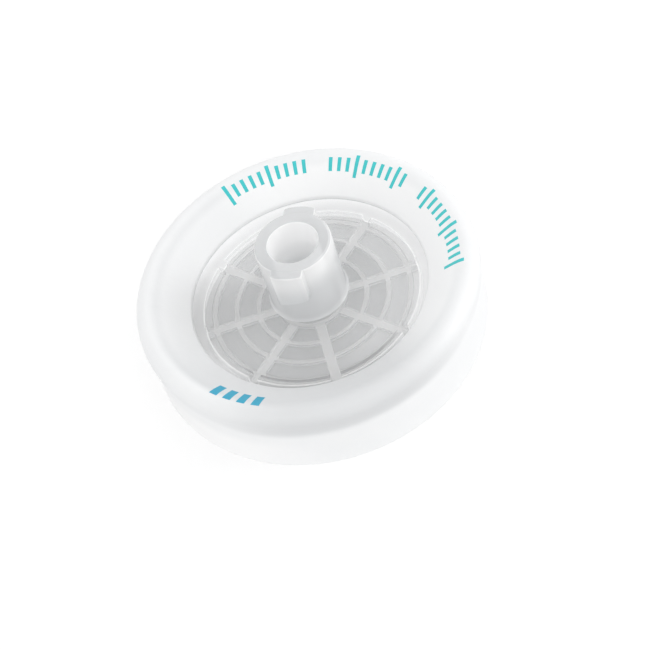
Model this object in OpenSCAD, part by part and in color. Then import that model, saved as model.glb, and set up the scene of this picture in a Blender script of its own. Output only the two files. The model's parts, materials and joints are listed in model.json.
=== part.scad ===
// Syringe filter, 25 mm disc size: a membrane clamped between two clear
// housings, held together by a white ring moulded around their edges.
// The inlet is a female Luer lock hub and the outlet a male Luer slip tip.
// Every sub-part is drawn about the flow axis, with z = 0 at the seam where
// the membrane lies. resting() then lays the filter down the way it comes to
// rest on a bench, on the foot of its ring and the end of its tip.

/* [Membrane] */
// Diameter of the membrane disc, which sets the width of everything round it
membrane_d = 24.7; // [20:0.1:47]
// Thickness of the membrane
membrane_t = 0.2; // [0.1:0.01:0.3]
// Gap between the membrane's edge and the skirt
membrane_gap = 0.15; // [0.05:0.05:0.3]

/* [Housings] */
// Width of the rim that clamps the membrane
clamp_w = 2.9; // [2:0.1:3.5]
// Height of the inlet face above the seam
inlet_face = 1.6; // [1.4:0.05:2]
// Depth of the outlet face below the seam
outlet_face = 1.8; // [1.6:0.05:2.2]
// Wall of the inlet housing over the chamber
inlet_wall = 1.1; // [0.8:0.05:1.2]
// Wall of the outlet housing under the drain
outlet_wall = 0.8; // [0.6:0.05:1.1]
// Wall of the inlet skirt that centres the outlet housing
skirt_wall = 0.5; // [0.4:0.05:0.7]
// How far the skirt reaches below the membrane
skirt_depth = 0.9; // [0.5:0.05:1.2]
// Gap between the skirt and the outlet housing
skirt_gap = 0.05; // [0.02:0.01:0.1]
// Width of the sunk lip round the inlet face, where the ring grips it
lip_w = 1.4; // [1:0.1:1.8]
// Depth of that lip, which its sloping side is as wide as
lip_depth = 0.5; // [0.3:0.05:0.6]

/* [Ring] */
// Wall of the ring around the housings
ring_wall = 1.5; // [1.2:0.05:3]
// How far the bulge round the top stands out from the side wall
bulge = 0.25; // [0.1:0.05:0.5]
// Height of the crest above the seam
crest_height = 3.75; // [3.4:0.05:5]
// Rounding of the crest
crest_round = 1.15; // [0.8:0.05:1.4]
// Depth of the foot below the seam
foot_depth = 3.65; // [3.2:0.05:5]
// Rounding of the foot
foot_round = 0.8; // [0.4:0.05:1.1]
// How far the ring laps over the edge of the inlet housing
inlet_lap = 2.8; // [2.4:0.1:3.3]
// How far the ring laps over the edge of the outlet housing
outlet_lap = 2.5; // [2:0.1:3.3]
// Height of the ring's inner edges above the housing faces
ring_edge = 0.25; // [0.1:0.05:0.5]

/* [Flow ribs] */
// Number of spokes over the membrane; the ridges below it have twice as many cuts
spokes = 8; // [6:1:12]
// Width of a spoke
spoke_w = 0.9; // [0.5:0.05:1.2]
// Width of a round rib
rib_w = 0.45; // [0.3:0.05:0.6]
// Radius of the innermost round rib
first_rib = 2.8; // [2.3:0.05:3.2]
// Distance from one round rib to the next
rib_pitch = 1.9; // [1.7:0.05:2.2]
// Gap between the inlet ribs and the membrane
rib_gap = 0.1; // [0.05:0.05:0.2]
// Depth of the channel round the edge of the inlet chamber
channel_depth = 0.45; // [0.2:0.05:0.5]
// Width of that channel
channel_w = 0.7; // [0.4:0.05:0.9]
// Distance from one support ridge of the outlet to the next
ridge_pitch = 1.3; // [1.1:0.05:1.6]
// Width of a support ridge, and of the cuts that part them
ridge_w = 0.5; // [0.3:0.05:0.7]

/* [Inlet hub] */
// Outer diameter of the hub
hub_d = 6.5; // [6:0.05:6.9]
// Diameter of the conical socket at its mouth
socket_d = 4.3; // [4.27:0.005:4.315]
// Depth of the socket, which sets the height of the hub
socket_depth = 7.2; // [6:0.1:9]
// Wall between the socket and the chamber
socket_floor = 0.3; // [0.2:0.05:1]
// Diameter of the hole from the socket to the chamber
throat_d = 1.8; // [1:0.1:2.4]
// Distance across the two lugs
lug_d = 7.83; // [7.5:0.01:7.83]
// Width of a lug
lug_w = 2.7; // [2:0.1:3.2]
// Height of a lug
lug_h = 3.4; // [2:0.1:4]
// Lead of the thread that the lugs follow
thread_lead = 5; // [4:0.1:6]

/* [Outlet tip] */
// Diameter of the tip at its end
tip_d = 3.96; // [3.925:0.005:3.99]
// Length of the conical part of the tip
tip_length = 7.8; // [6.5:0.1:9.5]
// Length of the neck between the boss and the cone
neck_length = 2.5; // [1.5:0.1:4]
// Diameter of the flow bore
bore_d = 2.1; // [1.4:0.1:2.4]
// Diameter of the boss that carries the tip
boss_d = 7; // [6:0.1:8]
// Depth of the boss below the outlet face
boss_depth = 2.9; // [2:0.1:3.5]
// Number of gussets round the boss
gussets = 8; // [4:1:12]
// Thickness of a gusset
gusset_t = 0.8; // [0.5:0.05:1.2]

/* [Hidden] */
$fn = 96;
eps = 0.01;

// A Luer cone loses 6 mm of diameter in 100 mm of length
luer_taper = 0.06;
// How far the parts of one moulding run into each other
root = 0.3;

// Widths, worked outwards from the membrane and inwards from its edge
membrane_r = membrane_d / 2;
chamber_r = membrane_r - clamp_w;
skirt_in = membrane_r + membrane_gap;
outlet_r = skirt_in - skirt_gap;
flange_r = skirt_in + skirt_wall;
lip_r = flange_r - lip_w;
wall_r = flange_r + ring_wall;
window_r = flange_r - inlet_lap;
drain_window_r = flange_r - outlet_lap;

// Ring outline: a round crest, a straight wall and a round foot
crest = [wall_r + bulge - crest_round, crest_height - crest_round];
foot = [wall_r - foot_round, foot_round - foot_depth];
bulge_end = 1.5 * crest_round;
top_edge = [window_r, inlet_face + ring_edge];
low_edge = [drain_window_r, -outlet_face - ring_edge];

// Heights of the inlet housing, above the seam
ceiling = inlet_face - inlet_wall;
socket_end = ceiling + socket_floor;
mouth = socket_end + socket_depth;
skirt_end = -membrane_t - skirt_depth;
hub_fillet = 0.6;
hub_bevel = 0.2;
lug_angle = 67.5;

// Heights of the outlet housing, below the membrane
drain_floor = -outlet_face + outlet_wall;
boss_end = -outlet_face - boss_depth;
tip_root = boss_end - neck_length;
tip_end = tip_root - tip_length;
tip_round = 0.25;
tip_root_r = (tip_d + luer_taper * tip_length) / 2;
collar_r = tip_root_r + 0.4;
collar_h = 1;

// A gusset stops short of the ring and of the boss's end
gusset_r = drain_window_r - 1.6;
gusset_edge = 0.4;
gusset_top = 0.5;

// How the filter rests: its foot and the end of its tip touch the bench, on
// which it has rolled round to a heading
tip_rim = [tip_d / 2 - tip_round, tip_end + tip_round];
reach = foot - tip_rim;
rest_tilt = atan2(reach[1], reach[0]) - asin((foot_round - tip_round) / norm(reach));
heading = 30;
flow = [-sin(heading) * sin(rest_tilt), cos(heading) * sin(rest_tilt), cos(rest_tilt)];

function polar(r, a) = [r * cos(a), r * sin(a)];

// Where a line from point p meets the circle of radius r about c, a hair
// short of touching it, so that the two outlines cross cleanly
function touch(p, c, r, side) =
    let (v = p - c, short = r - eps / 2, a = atan2(v[1], v[0]), b = acos(short / norm(v)))
    c + polar(short, a + side * b);

// How far the resting filter reaches from the middle of its seam along u: the
// outermost parts of it are round, each of them a bead's centre and rounding
function extent(u) =
    let (across = norm(cross(u, flow)), along = u * flow)
    max([for (b = [[crest, crest_round], [foot, foot_round], [tip_rim, tip_round]])
        b[0][0] * across + b[0][1] * along + b[1]]);

// Lays the filter down in the middle of the bench, which is at z = 0
module resting() {
    translate([
        (extent([-1, 0, 0]) - extent([1, 0, 0])) / 2,
        (extent([0, -1, 0]) - extent([0, 1, 0])) / 2,
        extent([0, 0, -1])
    ])
        rotate([-rest_tilt, 0, heading])
            children();
}

// A cylinder between two heights
module drum(low, high, r) {
    translate([0, 0, low]) cylinder(h = high - low, r = r);
}

// A round wall between two heights
module tube(low, high, r_out, r_in) {
    difference() {
        drum(low, high, r_out);
        drum(low - eps, high + eps, r_in);
    }
}

// A solid round ring of round section, centred at [radius, height]
module bead(centre, r) {
    rotate_extrude() translate(centre) circle(r = r);
}

// Straight bars from the centre out to radius r, at even angles
module star(count, r, w, low, high) {
    for (i = [0:count - 1])
        rotate([0, 0, i * 360 / count])
            translate([0, -w / 2, low])
                cube([r, w, high - low]);
}

// Outline of both housings where the ring grips them
module grip_section() {
    polygon([
        [0, inlet_face], [lip_r - lip_depth, inlet_face], [lip_r, inlet_face - lip_depth],
        [flange_r, inlet_face - lip_depth], [flange_r, skirt_end],
        [skirt_in, skirt_end], [skirt_in, -outlet_face],
        [0, -outlet_face]
    ]);
}

// Ring section between the crest and the foot, with a dished face on each side
module web_section() {
    polygon([
        [window_r, 0], top_edge, touch(top_edge, crest, crest_round, -1), crest,
        touch([wall_r, crest[1] - bulge_end], crest, crest_round, 1),
        [wall_r, crest[1] - bulge_end], [wall_r, foot[1]], foot,
        touch(low_edge, foot, foot_round, 1), low_edge
    ]);
}

module sealing_ring() {
    color([0.93, 0.94, 0.94, 0.9])
        resting() difference() {
            union() {
                bead(crest, crest_round);
                bead(foot, foot_round);
                rotate_extrude() web_section();
            }
            rotate_extrude() grip_section();
        }
}

// One Luer lock lug, its underside sloped along the thread
module lug() {
    slope = atan(thread_lead / (PI * lug_d));
    intersection() {
        tube(mouth - lug_h - lug_w, mouth, lug_d / 2, hub_d / 2 - root);
        difference() {
            translate([0, -lug_w / 2, mouth - lug_h - lug_w / 2])
                cube([lug_d, lug_w, lug_h + lug_w / 2]);
            translate([0, 0, mouth - lug_h])
                rotate([slope, 0, 0])
                    translate([-eps, -lug_w, -lug_w])
                        cube([lug_d, 2 * lug_w, lug_w]);
        }
    }
}

module hub() {
    drum(inlet_face - root, mouth - hub_bevel, hub_d / 2);
    translate([0, 0, mouth - hub_bevel])
        cylinder(h = hub_bevel, r1 = hub_d / 2, r2 = hub_d / 2 - hub_bevel);
    rotate_extrude()
        translate([hub_d / 2, inlet_face])
            difference() {
                translate([-root, -root]) square(hub_fillet + root);
                translate([hub_fillet, hub_fillet]) circle(r = hub_fillet);
            }
    for (side = [0, 180])
        rotate([0, 0, lug_angle + side]) lug();
}

// The inlet plate with its stepped edge, and the skirt below it
module inlet_plate() {
    rotate_extrude()
        intersection() {
            grip_section();
            translate([0, skirt_end]) square([flange_r, inlet_face - skirt_end]);
        }
}

// Rounds and spokes under the inlet face, short of the membrane
module inlet_ribs() {
    for (r = [first_rib:rib_pitch:chamber_r - channel_w - rib_w / 2])
        tube(rib_gap, ceiling + root, r + rib_w / 2, r - rib_w / 2);
    intersection() {
        star(spokes, chamber_r + root, spoke_w, rib_gap, ceiling + channel_depth + root);
        tube(0, inlet_face, chamber_r + root, first_rib);
    }
}

module inlet_housing() {
    color([0.80, 0.83, 0.86, 0.45])
        resting() {
            difference() {
                union() {
                    inlet_plate();
                    hub();
                }
                drum(skirt_end - eps, 0, skirt_in);
                drum(-eps, ceiling, chamber_r);
                tube(ceiling - eps, ceiling + channel_depth, chamber_r, chamber_r - channel_w);
                translate([0, 0, socket_end])
                    cylinder(h = socket_depth + eps, d1 = socket_d - luer_taper * socket_depth,
                             d2 = socket_d + luer_taper * eps);
                drum(0, mouth, throat_d / 2);
            }
            inlet_ribs();
        }
}

module membrane() {
    color([0.86, 0.86, 0.85])
        resting() drum(-membrane_t, 0, membrane_r);
}

// Rounds of ridges, parted by cuts, that hold the membrane up and drain it
module support_ridges() {
    difference() {
        for (r = [bore_d / 2 + ridge_w:ridge_pitch:chamber_r - ridge_w])
            tube(drain_floor - root, -membrane_t, r + ridge_w, r);
        star(2 * spokes, chamber_r, ridge_w, drain_floor, 0);
    }
}

module gusset() {
    rotate([90, 0, 0])
        translate([0, 0, -gusset_t / 2])
            linear_extrude(gusset_t)
                polygon([
                    [boss_d / 2 - root, root - outlet_face], [gusset_r, root - outlet_face],
                    [gusset_r, -outlet_face - gusset_edge], [boss_d / 2, boss_end + gusset_top],
                    [boss_d / 2 - root, boss_end + gusset_top]
                ]);
}

// Plate, boss, neck and tip of the outlet, as half a section
module outlet_section() {
    polygon([
        [0, -membrane_t], [outlet_r, -membrane_t], [outlet_r, -outlet_face],
        [boss_d / 2, -outlet_face], [boss_d / 2, boss_end], [collar_r, tip_root + collar_h],
        [collar_r, tip_root], [tip_root_r, tip_root],
        [tip_d / 2, tip_rim[1]], [tip_rim[0], tip_end], [0, tip_end]
    ]);
}

module outlet_housing() {
    color([0.80, 0.83, 0.86, 0.45])
        resting() difference() {
            union() {
                difference() {
                    union() {
                        rotate_extrude() outlet_section();
                        bead(tip_rim, tip_round);
                        for (i = [0:gussets - 1])
                            rotate([0, 0, (i + 0.5) * 360 / gussets]) gusset();
                    }
                    drum(drain_floor, 0, chamber_r);
                }
                support_ridges();
            }
            drum(tip_end - eps, 0, bore_d / 2);
        }
}

sealing_ring();
inlet_housing();
membrane();
outlet_housing();
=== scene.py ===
import json
import math

import bmesh
import bpy
from mathutils import Matrix, Vector


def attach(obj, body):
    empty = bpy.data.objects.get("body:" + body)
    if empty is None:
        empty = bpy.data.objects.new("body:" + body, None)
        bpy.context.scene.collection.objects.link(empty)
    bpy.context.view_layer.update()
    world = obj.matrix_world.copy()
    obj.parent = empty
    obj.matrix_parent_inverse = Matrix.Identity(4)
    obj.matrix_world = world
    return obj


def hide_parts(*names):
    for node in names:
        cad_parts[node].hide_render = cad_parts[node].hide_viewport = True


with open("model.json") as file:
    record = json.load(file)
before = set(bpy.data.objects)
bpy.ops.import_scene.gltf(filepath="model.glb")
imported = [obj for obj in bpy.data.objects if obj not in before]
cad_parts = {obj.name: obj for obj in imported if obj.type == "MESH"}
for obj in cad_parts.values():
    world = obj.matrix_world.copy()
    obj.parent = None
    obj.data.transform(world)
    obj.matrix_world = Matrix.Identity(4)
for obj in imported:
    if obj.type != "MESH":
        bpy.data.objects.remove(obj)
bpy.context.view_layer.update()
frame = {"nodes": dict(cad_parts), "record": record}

# --- Flow axis -------------------------------------------------------------
# The filter lies on its ring and its tip, so its flow axis leans. Every
# piece is drawn about that axis in millimetres, from z = 0 at the seam
# between the two housings, and laid down by the matrix below.
MM = 0.001
MOUTH = 8.0
mouth_face = next(m for m in frame["record"]["mounts"] if m["name"] == "inlet_mouth_face")
flow = Vector(mouth_face["axis"])
across = flow.cross(Vector((0, 0, 1))).normalized()
turned = Matrix((across, flow.cross(across), flow)).transposed()
seam = Vector(mouth_face["pos_m"]) - flow * MOUTH * MM
laid_down = Matrix.Translation(seam) @ turned.to_4x4() @ Matrix.Scale(MM, 4)

# --- Camera ----------------------------------------------------------------
# It looks down on the inlet face, 40 degrees off the flow axis, so nearly
# straight down on the bench, and is rolled to show the filter leaning.
INLET_FACE = 1.6
SWUNG, ABOVE_FACE, ROLLED = 1.7, 39.8, -19.4
STAND_OFF = (1.32, -2.91, 170.0)
view = (Matrix.Rotation(math.radians(SWUNG), 3, "Z")
        @ Matrix.Rotation(math.radians(ABOVE_FACE), 3, "X")
        @ Matrix.Rotation(math.radians(ROLLED), 3, "Z"))
eye = laid_down @ (Vector((0, 0, INLET_FACE)) + view @ Vector(STAND_OFF))
camera = bpy.data.objects.new("camera", bpy.data.cameras.new("camera"))
camera.data.sensor_width = 36
camera.data.lens = 111.8
camera.data.clip_start = 0.01
camera.matrix_world = Matrix.Translation(eye) @ (turned @ view).to_4x4()
bpy.context.scene.collection.objects.link(camera)
bpy.context.scene.camera = camera

# --- Moulded ring ----------------------------------------------------------
# White polypropylene, moulded in place around the edges of both housings so
# that it squeezes them together. Its faces are dished, its rim bulges out
# and its foot is round. Ticks and bars are printed on its face.
WALL = 14.5
CREST, CREST_ROUND = (13.6, 2.6), 1.15
FOOT, FOOT_ROUND = (13.7, -2.85), 0.8
ROUND_STEPS = 256
SMOOTH_UNDER = math.radians(28)


def arc(centre, radius, start, end, steps):
    """Points round part of a circle in a section, from one angle in degrees to another."""
    angles = [math.radians(start + (end - start) * i / steps) for i in range(steps + 1)]
    return [(centre[0] + radius * math.cos(a), centre[1] + radius * math.sin(a)) for a in angles]


def bend(start, corner, end, steps=5):
    """Points of a smooth bend that starts and ends along the two sides of a corner."""
    shares = [i / steps for i in range(steps + 1)]
    return [tuple(a * (1 - t) ** 2 + 2 * b * t * (1 - t) + c * t * t
                  for a, b, c in zip(start, corner, end))
            for t in shares]


def revolved(outline):
    """A closed outline of (width, height) points spun about the flow axis."""
    bm = bmesh.new()
    section = [bm.verts.new((width, 0, height)) for width, height in outline]
    edges = [bm.edges.new((a, b)) for a, b in zip(section, section[1:] + section[:1])]
    bmesh.ops.spin(bm, geom=section + edges, cent=(0, 0, 0), axis=(0, 0, 1), dvec=(0, 0, 0),
                   angle=math.tau, steps=ROUND_STEPS, use_merge=True)
    bmesh.ops.remove_doubles(bm, verts=bm.verts, dist=1e-4)
    bmesh.ops.recalc_face_normals(bm, faces=bm.faces)
    return bm


def piece(name, bm, material, node):
    """Lays a mesh drawn about the flow axis down as the piece that stands for a node."""
    bmesh.ops.transform(bm, matrix=laid_down, verts=bm.verts)
    for face in bm.faces:
        face.smooth = True
    for edge in bm.edges:
        edge.smooth = len(edge.link_faces) == 2 and edge.calc_face_angle(0) < SMOOTH_UNDER
    mesh = bpy.data.meshes.new(name)
    bm.to_mesh(mesh)
    bm.free()
    mesh.materials.append(material)
    made = bpy.data.objects.new(name, mesh)
    made.modifiers.new("flat_faces_stay_flat", "WEIGHTED_NORMAL").keep_sharp = True
    bpy.context.scene.collection.objects.link(made)
    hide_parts(node)
    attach(made, "root")


class Value:
    """A shader socket that can be used in sums and comparisons."""

    def __init__(self, shader, socket):
        self.shader, self.socket = shader, socket

    def maths(self, operation, *values):
        """Adds a Math node that works on some values."""
        return self.shader.node("ShaderNodeMath", {"operation": operation}, dict(enumerate(values)))

    def __add__(self, other):
        return self.maths("ADD", self, other)

    def __sub__(self, other):
        return self.maths("SUBTRACT", self, other)

    def __rsub__(self, other):
        return self.maths("SUBTRACT", other, self)

    def __mul__(self, other):
        return self.maths("MULTIPLY", self, other)

    def __mod__(self, other):
        return self.maths("FLOORED_MODULO", self, other)

    def __lt__(self, other):
        return self.maths("LESS_THAN", self, other)

    def __gt__(self, other):
        return self.maths("GREATER_THAN", self, other)

    __radd__, __rmul__ = __add__, __mul__

    def rises(self, level, blur):
        """0 below a level and 1 above it, with a soft step between."""
        return self.shader.node("ShaderNodeMapRange", {"interpolation_type": "SMOOTHSTEP"},
                                {0: self, 1: level - blur / 2, 2: level + blur / 2})

    def within(self, low, high, blur=0):
        """1 between low and high, 0 elsewhere, with edges that fade over blur."""
        if not blur:
            return (self > low) * (self < high)
        return self.rises(low, blur) * (1 - self.rises(high, blur))

    def beyond(self, low, high, blur):
        """The same for an angle, with low and high on either side of the half turn."""
        return ((self + 360) % 360).within(low, high, blur)


class Shader:
    """A material whose nodes read places about the flow axis, in millimetres."""

    def __init__(self, name, **constants):
        self.material = bpy.data.materials.new(name)
        self.material.use_nodes = True
        self.nodes = self.material.node_tree.nodes
        self.surface = self.nodes["Principled BSDF"]
        self.finish(**constants)

    def node(self, kind, settings, values, output=0):
        """Adds a node and returns one of its outputs."""
        made = self.nodes.new(kind)
        for setting, value in settings.items():
            setattr(made, setting, value)
        for socket, value in values.items():
            self.put(made.inputs[socket], value)
        return Value(self, made.outputs[output])

    def put(self, socket, value):
        """Links a socket to a value, or sets it to a number or colour."""
        if isinstance(value, Value):
            self.material.node_tree.links.new(value.socket, socket)
        else:
            socket.default_value = value

    def place(self):
        """Where a point is about the flow axis: (vector, height, radius, angle in degrees)."""
        upright = laid_down.inverted()
        here = self.node("ShaderNodeMapping", {}, {
            "Vector": self.node("ShaderNodeTexCoord", {}, {}, "Object"),
            "Location": upright.to_translation(),
            "Rotation": upright.to_euler(),
            "Scale": (1 / MM, 1 / MM, 1 / MM)})
        x, y, height = (self.node("ShaderNodeSeparateXYZ", {}, {0: here}, i) for i in range(3))
        radius = x.maths("SQRT", x * x + y * y)
        return here, height, radius, x.maths("ARCTAN2", y, x) * math.degrees(1)

    def noise(self, here, size):
        """Even noise with patches of about that size in millimetres."""
        return self.node("ShaderNodeTexNoise", {}, {"Vector": here, "Scale": 1 / size, "Detail": 3})

    def mix(self, share, first, second):
        """A colour that goes from first to second."""
        return self.node("ShaderNodeMix", {"data_type": "RGBA"}, {0: share, 6: first, 7: second}, 2)

    def bump(self, height, depth):
        """Normals of a surface whose height goes from 0 to depth in millimetres."""
        return self.node("ShaderNodeBump", {}, {"Height": height, "Distance": depth * MM})

    def finish(self, **finishes):
        """Links or sets the surface's own sockets and returns the material."""
        for socket, value in finishes.items():
            self.put(self.surface.inputs[socket.replace("_", " ")], value)
        return self.material


ring_outline = [
    (10.2, 1.5), *bend((10.2, 1.68), (10.2, 1.85), (10.37, 1.955), 6),
    *bend((12.4, 3.208), (13.42, 3.839), (13.898, 3.711), 14),
    *arc(CREST, CREST_ROUND, 70, -8.7, 16),
    (WALL, 0.875),
    *arc(FOOT, FOOT_ROUND, 0, -118, 16),
    (10.5, -2.05), (10.5, -1.7), (12.5, -1.7), (12.5, -1.1), (13.0, -1.1), (13.0, 1.1),
    (11.6, 1.1), (11.1, 1.5)]

white = Shader("white_polypropylene", Roughness=0.42, Subsurface_Weight=0.3,
               Subsurface_Scale=0.002, Subsurface_Radius=(1, 1, 1))
here, height, radius, angle = white.place()
plastic = white.mix(white.noise(here, 2.5), (0.84, 0.85, 0.86, 1), (0.89, 0.895, 0.90, 1))

# Painted light and shade: the dished face and the low left of the wall are
# painted whiter, and the bulge, the near side and the left of the dish are
# painted greyer, as painted shade on the side away from the light.
face = height > INLET_FACE
dish = face * radius.within(9, 12.6, 0.8)
bulge = radius.within(14.2, 15, 0.6) * height.within(1.5, 3.1, 1.2)
near_side = angle.within(-125, -55, 40) * height.within(1, 5, 1)
left_dish = face * angle.within(-160, -125, 40) * radius.within(9, 13.2, 0.8)
far_left_dish = face * angle.beyond(105, 205, 30) * radius.within(9, 13.2, 0.8)
painted_light_low_left = angle.within(-165, -115, 40) * height.within(-6, -0.2, 1.6) * (radius > 13)
shade = bulge * 0.2 + near_side * 0.6 + left_dish * 0.6 + far_left_dish * 0.22
plastic = white.mix(dish, plastic, (0.94, 0.945, 0.95, 1))
plastic = white.mix(shade, plastic, (0.60, 0.61, 0.62, 1))
plastic = white.mix(painted_light_low_left * 0.6, plastic, (0.98, 0.98, 0.98, 1))

# Three runs of ticks, with every fifth longer, and one run of bars
TICK_STEP, BAR_STEP = 3.6, 5.6
runs = angle.within(-18, 25.2) + angle.within(32.4, 68.4) + angle.within(75.6, 111.6)
fifth = (angle % (5 * TICK_STEP)).within(0, TICK_STEP)
tick_length = radius.within(12.1, 13.2) + fifth * (radius.within(11.7, 12.1) + radius.within(13.2, 13.5))
ticks = face * runs * (angle % TICK_STEP).within(0.9, 2.4) * tick_length
bars = face * angle.within(-140.2, -117.8) * (angle % BAR_STEP).within(1, 4.2) * radius.within(12.1, 13.4)
plastic = white.mix(ticks, plastic, (0.05, 0.58, 0.60, 1))
plastic = white.mix(bars, plastic, (0.03, 0.38, 0.56, 1))
ring_material = white.finish(Base_Color=plastic, Normal=white.bump(white.noise(here, 0.5), 0.02))
piece("moulded_ring", revolved(ring_outline), ring_material, "sealing_ring")

# --- Inlet housing ---------------------------------------------------------
# One milky clear polypropylene moulding: a plate with round ribs and eight
# spokes under it, and a Luer lock hub with two lugs on top. It is thin and
# clear over the chamber, and whiter where it is thick. The ring grips its edge.
CEILING, SPOKE_END, RIB_END = 0.5, 0.1, 0.12
RIBS, RIB_HALF = (2.8, 4.7, 6.6, 8.5), 0.225
CHANNEL_IN, CHANNEL_OUT, CHANNEL_TOP = 8.75, 9.45, 0.95
THROAT, SOCKET_FLOOR, SOCKET_ROOT, SOCKET, HUB = 0.9, 0.8, 1.934, 2.15, 3.25
LIP, FLANGE, FLANGE_TOP, SKIRT, SKIRT_END = 11.1, 13, 1.1, 12.5, -1.1
SPOKE_HALF = 0.45
LUG_REACH, LUG_WIDE, LUG_TALL, LUG_SLOPE = 3.915, 2.7, 3.4, 0.203


def rounded(corners):
    """A closed outline of (width, height, rounding) corners."""
    points = []
    for i, (width, height, cut) in enumerate(corners):
        corner = Vector((width, height))
        sides = [Vector(corners[j % len(corners)][:2]) - corner for j in (i - 1, i + 1)]
        if cut:
            start, end = (corner + side.normalized() * cut for side in sides)
            points += bend(start, corner, end)
        else:
            points.append((width, height))
    return points


def block(low, high, bevel, reshape=None):
    """A bevelled box between two corners, which reshape may bend first: it moves a point."""
    bm = bmesh.new()
    bmesh.ops.create_cube(bm, size=1)
    if reshape:
        long_edges = [e for e in bm.edges if abs(e.verts[0].co.y - e.verts[1].co.y) > 0.5]
        bmesh.ops.subdivide_edges(bm, edges=long_edges, cuts=11, use_grid_fill=True)
    for vert in bm.verts:
        vert.co = Vector(a + (b - a) * (c + 0.5) for a, b, c in zip(low, high, vert.co))
        if reshape:
            vert.co = reshape(vert.co)
    sharp = [e for e in bm.edges if e.calc_face_angle(0) > 0.6]
    bmesh.ops.bevel(bm, geom=sharp, offset=bevel, segments=3, profile=0.5, affect="EDGES",
                    material=-1)
    bmesh.ops.recalc_face_normals(bm, faces=bm.faces)
    return bm


def around(bm, angles):
    """Copies of a mesh turned to several angles, in degrees, about the flow axis."""
    mesh = bpy.data.meshes.new("single")
    bm.to_mesh(mesh)
    bm.clear()
    for turn in angles:
        mesh.transform(Matrix.Rotation(math.radians(turn), 4, "Z"))
        bm.from_mesh(mesh)
        mesh.transform(Matrix.Rotation(math.radians(-turn), 4, "Z"))
    bpy.data.meshes.remove(mesh)
    return bm


def combined(body, operation, *tools):
    """One closed mesh from meshes that overlap."""
    for tool in tools:
        made = []
        for bm in (body, tool):
            mesh = bpy.data.meshes.new("overlapping")
            bm.to_mesh(mesh)
            bm.free()
            made.append(bpy.data.objects.new("overlapping", mesh))
            bpy.context.scene.collection.objects.link(made[-1])
        solver = made[0].modifiers.new("solver", "BOOLEAN")
        solver.operation = operation
        solver.object = made[1]
        body = bmesh.new()
        body.from_object(made[0], bpy.context.evaluated_depsgraph_get())
        for obj in made:
            bpy.data.objects.remove(obj)
    bmesh.ops.remove_doubles(body, verts=body.verts, dist=1e-4)
    bmesh.ops.dissolve_verts(body, verts=[vert for vert in body.verts if len(vert.link_edges) == 2])
    return body


def lug_shape(co):
    """Bends a box round the hub, with its underside along the thread."""
    low = co.z < MOUTH - 1
    return Vector((math.sqrt(co.x ** 2 - co.y ** 2), co.y, co.z + (LUG_SLOPE * co.y if low else 0)))


rib_corners = []
for middle in reversed(RIBS):
    rib_corners += [(middle + RIB_HALF, CEILING, 0), (middle + RIB_HALF, RIB_END, 0.07),
                    (middle - RIB_HALF, RIB_END, 0.07), (middle - RIB_HALF, CEILING, 0)]
inlet_outline = rounded([
    (THROAT, CEILING, 0.05), (THROAT, SOCKET_FLOOR, 0.05), (SOCKET_ROOT, SOCKET_FLOOR, 0),
    (SOCKET, MOUTH, 0.15), (HUB, MOUTH, 0.22), (HUB, INLET_FACE, 0.6),
    (LIP, INLET_FACE, 0.1), (LIP + 0.5, FLANGE_TOP, 0), (FLANGE, FLANGE_TOP, 0.1),
    (FLANGE, SKIRT_END, 0.1), (SKIRT, SKIRT_END, 0.1), (SKIRT, 0.01, 0),
    (CHANNEL_OUT, 0.01, 0.08), (CHANNEL_OUT, CHANNEL_TOP, 0.1),
    (CHANNEL_IN, CHANNEL_TOP, 0.1), (CHANNEL_IN, CEILING, 0.05), *rib_corners])
lugs = around(block((3, -LUG_WIDE / 2, MOUTH - LUG_TALL), (LUG_REACH, LUG_WIDE / 2, MOUTH - 0.02),
                    0.16, lug_shape), (67.5, 247.5))
spokes = around(block((2.8, -SPOKE_HALF, SPOKE_END), (9.9, SPOKE_HALF, 1.2), 0.1), range(0, 360, 45))
inlet_mesh = combined(revolved(inlet_outline), "UNION", lugs, spokes)

# Where the moulding is thick it is whiter and hides more. The socket and the
# hub's top are painted whiter as painted light, the ceiling over the chamber
# and the near side of the channel wall are painted darker as painted shade,
# and the mouth's end face is greyer. The edge, the bore and the socket get a
# painted glow that stands for light spreading in the plastic: weaker on the
# near and left parts of the edge, stronger under the ring, with a painted
# highlight glow on the right side of the hub's top.
CLEAR = (0.80, 0.81, 0.82, 1)
BLACK, WHITE = (0, 0, 0, 1), (1, 1, 1, 1)
HOLLOW_SHADE = (0.50, 0.51, 0.52, 1)
inlet_plastic = Shader("clear_polypropylene", Roughness=0.15, Emission_Strength=1)
_, height, radius, angle = inlet_plastic.place()
hub = height > INLET_FACE + 0.12
hub_end = height > MOUTH - 0.05
bore = (radius < 2.2) * (height > 0.7)
socket = bore * height.within(3.6, 9, 2)
over_chamber = (radius < 9.6) * (height < 1.2) * (radius > 2)
spoke = over_chamber * height.within(SPOKE_END - 0.05, RIB_END - 0.005)
rib = over_chamber * height.within(RIB_END - 0.005, CEILING - 0.1)
ceiling = over_chamber * height.within(CEILING - 0.1, CEILING + 0.1) * (radius < 9)
edge = radius.within(9.3, 12.6) * height.within(-0.05, 1)
near_edge = edge * angle.within(-140, -55, 40)
left_edge = edge * angle.beyond(150, 200, 40)
under_ring = edge * radius.within(10.9, 14, 1.4)
painted_shade_channel_wall = (radius.within(CHANNEL_IN - 0.05, CHANNEL_IN + 0.07)
                * height.within(CEILING + 0.02, CHANNEL_TOP - 0.02) * angle.within(-155, -45, 40))
painted_highlight_side = hub * height.within(6.4, 8.6, 1.4) * angle.within(-62, 20, 50) * (radius > 3)
painted_light_hub_top = height.within(6, 9, 2.5) * (height < MOUTH - 0.03)

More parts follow.
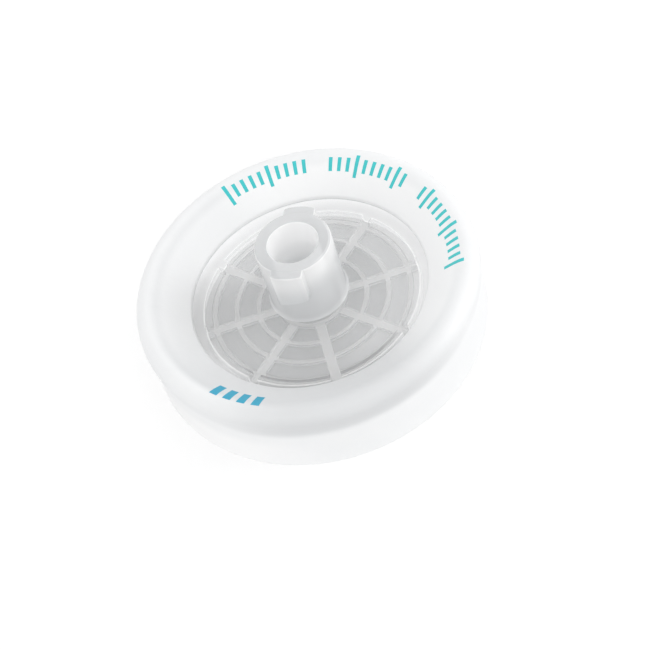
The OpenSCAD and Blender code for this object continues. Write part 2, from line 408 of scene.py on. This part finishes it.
colour = inlet_plastic.mix(spoke + rib + edge + socket * 0.6 + painted_light_hub_top, CLEAR, (0.97, 0.97, 0.97, 1))
colour = inlet_plastic.mix(ceiling, colour, HOLLOW_SHADE)
colour = inlet_plastic.mix(hub_end, colour, (0.70, 0.71, 0.72, 1))
colour = inlet_plastic.mix(painted_shade_channel_wall, colour, (0.30, 0.30, 0.30, 1))
hiding = (0.2 + hub * 0.45 + spoke * 0.4 + rib * 0.3 + edge * 0.6 + ceiling * 0.1
          + painted_shade_channel_wall * 0.6 + bore * 0.1)
# Painted glow: emission that stands in for light, and a painted highlight on the hub's right side.
glow = (edge * 0.22 - near_edge * 0.2 - left_edge * 0.12 + under_ring * 0.25
        + bore * 0.04 + socket * 0.08 + painted_highlight_side * 0.13)
inlet_material = inlet_plastic.finish(
    Base_Color=colour, Alpha=hiding, Emission_Color=inlet_plastic.mix(glow, BLACK, WHITE))
piece("inlet_moulding", inlet_mesh, inlet_material, "inlet_housing")

# --- Membrane --------------------------------------------------------------
# A thin white disc of porous film, punched from a sheet and clamped by its
# edge between the housings. Its colour is painted grey with painted light and
# shade: lighter on the far and right side, darker round the hub as a painted
# shadow of the hub, and darker on the left.
film = Shader("membrane_film", Roughness=0.85)
here, _, radius, angle = film.place()
painted_lit_side = angle.within(-75, 155, 45) * radius.within(3, 20, 4)
painted_hub_shadow = radius.within(3.2, 6.5, 0.8)
left = angle.beyond(150, 220, 40)
painted_film_colour = film.mix(painted_lit_side, (0.69, 0.69, 0.69, 1), (0.95, 0.95, 0.95, 1))
painted_film_colour = film.mix(painted_hub_shadow * 0.5, painted_film_colour, (0.60, 0.60, 0.60, 1))
painted_film_colour = film.mix(left, painted_film_colour, (0.76, 0.76, 0.76, 1))
disc = frame["nodes"]["membrane"]
disc.data.materials.clear()
disc.data.materials.append(
    film.finish(Base_Color=painted_film_colour, Normal=film.bump(film.noise(here, 0.15), 0.01)))

# --- Outlet housing --------------------------------------------------------
# The same milky clear polypropylene, moulded in one: a plate with parted
# drain ridges, a boss stiffened by eight gussets, and a Luer slip tip with
# the flow bore through it. The ring grips its edge.
DRAIN_FLOOR, DRAIN_EDGE, SEAT = -1, 9.45, -0.21
RIDGES, RIDGE_WIDE = (1.55, 2.85, 4.15, 5.45, 6.75, 8.05), 0.5
OUTLET_FACE, OUTLET_EDGE = -1.8, 12.45
BORE, TIP, TIP_END = 1.05, 1.98, -15
BOSS, BOSS_END = 3.5, -4.7
COLLAR, COLLAR_ROOT, COLLAR_END = 2.614, -6.2, -7.2
GUSSET_HALF, CUT_HALF = 0.4, 0.25


def gusset():
    """A bevelled web from the plate down to the boss."""
    bm = bmesh.new()
    outline = [(3.2, -1.5), (8.9, -1.5), (8.9, -2.2), (BOSS, -4.2), (3.2, -4.2)]
    side = bm.faces.new([bm.verts.new((width, -GUSSET_HALF, height)) for width, height in outline])
    moved = bmesh.ops.extrude_face_region(bm, geom=[side])["geom"]
    bmesh.ops.translate(bm, vec=(0, 2 * GUSSET_HALF, 0),
                        verts=[v for v in moved if isinstance(v, bmesh.types.BMVert)])
    bmesh.ops.bevel(bm, geom=bm.edges[:], offset=0.12, segments=3, profile=0.5, affect="EDGES",
                    material=-1)
    bmesh.ops.recalc_face_normals(bm, faces=bm.faces)
    return bm


ridge_corners = []
for start in RIDGES:
    end = start + RIDGE_WIDE
    ridge_corners += [(start, DRAIN_FLOOR, 0), (start, SEAT, 0.07), (end, SEAT, 0.07), (end, DRAIN_FLOOR, 0)]
outlet_outline = rounded([
    (BORE, TIP_END, 0.1), (BORE, DRAIN_FLOOR, 0.1), *ridge_corners,
    (DRAIN_EDGE, DRAIN_FLOOR, 0.1), (DRAIN_EDGE, SEAT, 0.05), (OUTLET_EDGE, SEAT, 0.1),
    (OUTLET_EDGE, OUTLET_FACE, 0.1), (BOSS, OUTLET_FACE, 0.3), (BOSS, BOSS_END, 0.15),
    (COLLAR, COLLAR_ROOT, 0.2), (COLLAR, COLLAR_END, 0.1), (COLLAR - 0.4, COLLAR_END, 0.1),
    (TIP, TIP_END, 0.3)])
cuts = around(block((1.3, -CUT_HALF, -0.98), (9.3, CUT_HALF, 0.2), 0.05), [i * 22.5 for i in range(16)])
gussets = around(gusset(), [22.5 + 45 * i for i in range(8)])
outlet_mesh = combined(combined(revolved(outlet_outline), "UNION", gussets), "DIFFERENCE", cuts)

outlet_plastic = Shader("clear_polypropylene_outlet", Roughness=0.15)
_, height, radius, _ = outlet_plastic.place()
stem = height < OUTLET_FACE - 0.1
drain = radius < DRAIN_EDGE - 0.05
ridge = drain * height.within(DRAIN_FLOOR + 0.1, -0.1)
drain_floor = drain * height.within(DRAIN_FLOOR - 0.05, DRAIN_FLOOR + 0.05)
colour = outlet_plastic.mix(stem + ridge, CLEAR, (0.92, 0.93, 0.94, 1))
# Painted shade: the drain floor is painted darker in the hollow.
colour = outlet_plastic.mix(drain_floor, colour, HOLLOW_SHADE)
outlet_material = outlet_plastic.finish(
    Base_Color=colour, Alpha=0.2 + stem * 0.45 + ridge * 0.4 + drain_floor * 0.1)
piece("outlet_moulding", outlet_mesh, outlet_material, "outlet_housing")

# --- Bench and light -------------------------------------------------------
# A pale bench in a bright room, with three wide lamps placed as the camera
# sees them: low on the near side, high on the right, and over the left.
# Bench and room show white behind the filter, and light it a little less.
LAMPS = (  # name, which way it lies, how far, its size and its power
    ("near_lamp", (0.4, -0.8, 0.4), 0.5, 0.12, 0.12),
    ("side_lamp", (0.75, 0.46, 0.5), 0.2, 0.06, 0.065),
    ("over_lamp", (-0.4, -0.2, 0.9), 0.3, 0.15, 0.045))
bm = bmesh.new()
bmesh.ops.create_grid(bm, x_segments=1, y_segments=1, size=1.5)
mesh = bpy.data.meshes.new("bench")
bm.to_mesh(mesh)
bm.free()
bench = bpy.data.objects.new("bench", mesh)
bpy.context.scene.collection.objects.link(bench)
pale = Shader("pale_bench", Roughness=1.0, Specular_IOR_Level=0, Emission_Strength=1)
rays = pale.nodes.new("ShaderNodeLightPath").outputs
seen = sum(Value(pale, rays[name]) for name in ("Is Camera Ray", "Is Glossy Ray", "Is Transmission Ray"))
bench.data.materials.append(pale.finish(
    Base_Color=(0.8, 0.8, 0.8, 1), Emission_Color=pale.mix(seen, BLACK, (0.26, 0.26, 0.26, 1))))

for name, way, away, size, power in LAMPS:
    lamp = bpy.data.objects.new(name, bpy.data.lights.new(name, "AREA"))
    lamp.data.size = size
    lamp.data.energy = power
    way = camera.matrix_world.to_3x3() @ Vector(way).normalized()
    lamp.location = way * away
    lamp.rotation_euler = way.to_track_quat("Z", "Y").to_euler()
    bpy.context.scene.collection.objects.link(lamp)

world = bpy.data.worlds.new("soft_room")
world.use_nodes = True
tree = world.node_tree
rays = tree.nodes.new("ShaderNodeLightPath").outputs
room = tree.nodes.new("ShaderNodeMix")
room.data_type = "RGBA"
room.inputs[6].default_value = (0.95, 0.95, 0.95, 1)
room.inputs[7].default_value = WHITE
tree.links.new(rays["Is Camera Ray"], room.inputs[0])
tree.links.new(room.outputs[2], tree.nodes["Background"].inputs["Color"])
bpy.context.scene.world = world
bpy.context.scene.view_settings.view_transform = "Standard"
